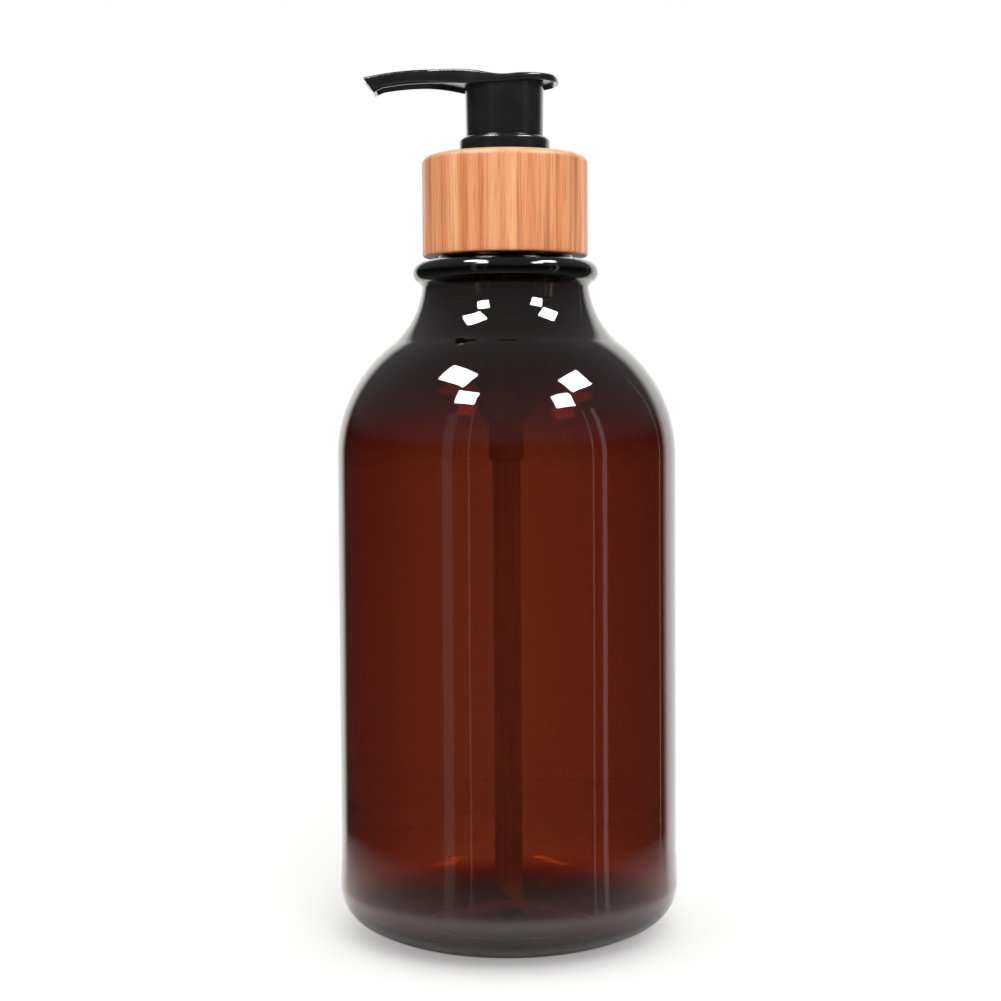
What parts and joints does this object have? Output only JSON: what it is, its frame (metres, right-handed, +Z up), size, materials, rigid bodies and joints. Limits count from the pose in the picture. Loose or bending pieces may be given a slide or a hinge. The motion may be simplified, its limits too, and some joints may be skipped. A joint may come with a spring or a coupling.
{
  "type": "lotion pump bottle",
  "caption": "Round-shouldered amber bottle with a bamboo-clad screw closure and a black press-down lotion pump with spout, dip tube and spring.",
  "frame": {"origin": "centre of the foot ring, on the surface that the bottle stands on", "axes": "+Z up along the bottle's axis; the spout points along -X; +Y completes the right-handed frame"},
  "size_m": [0.0756, 0.0756, 0.1903],
  "materials": {
    "amber_pet": "clear dark amber blown PET, glossy",
    "bamboo": "carbonised bamboo strips, sanded and oiled",
    "black_pp": "black moulded polypropylene, satin gloss",
    "natural_pp": "uncoloured polypropylene and polyethylene",
    "natural_pe": "milky translucent extruded polyethylene",
    "foam_pe": "soft white foamed polyethylene",
    "clear_glass": "polished clear glass",
    "spring_steel": "drawn stainless spring wire"
  },
  "bodies": {
    "bottle": {"bottle": "amber_pet"},
    "gasket": {"neck_gasket": "foam_pe"},
    "pump_body": {"pump_housing": "natural_pp", "lock_ring": "black_pp", "dip_tube": "natural_pe"},
    "cap": {"closure_cap": "black_pp", "bamboo_sleeve": "bamboo"},
    "spring": {"return_spring": "spring_steel"},
    "plunger": {"actuator_head": "black_pp", "stem": "natural_pp", "stem_plug": "natural_pp"},
    "piston": {"piston_seal": "natural_pp"},
    "ball": {"inlet_ball": "clear_glass"}
  },
  "joints": [
    {"name": "pump_lift", "type": "slide", "parent": "bottle", "child": "gasket", "axis": [0, 0, 1], "range_m": [0, 0.166]},
    {"name": "cap_rise", "type": "slide", "parent": "gasket", "child": "pump_body", "axis": [0, 0, 1], "range_m": [0, 0.0064]},
    {"name": "cap_turn", "type": "hinge", "parent": "pump_body", "child": "cap", "pos_m": [0, 0, 0.16], "axis": [0, 0, 1], "range_deg": [0, 540]},
    {"name": "head_turn", "type": "hinge", "parent": "pump_body", "child": "spring", "pos_m": [0, 0, 0.16], "axis": [0, 0, 1], "continuous": true},
    {"name": "press", "type": "slide", "parent": "spring", "child": "plunger", "axis": [0, 0, -1], "range_m": [0, 0.01], "stiffness_N_per_m": 1000, "springref_m": -0.012, "deforming": ["return_spring"]},
    {"name": "piston_slip", "type": "slide", "parent": "plunger", "child": "piston", "axis": [0, 0, 1], "range_m": [0, 0.0012]},
    {"name": "ball_lift", "type": "slide", "parent": "pump_body", "child": "ball", "axis": [0, 0, 1], "range_m": [0, 0.0012]}
  ],
  "couplings": [
    {"joint": "cap_rise", "follows": "cap_turn", "m_per_rad": 0.0006737}
  ]
}
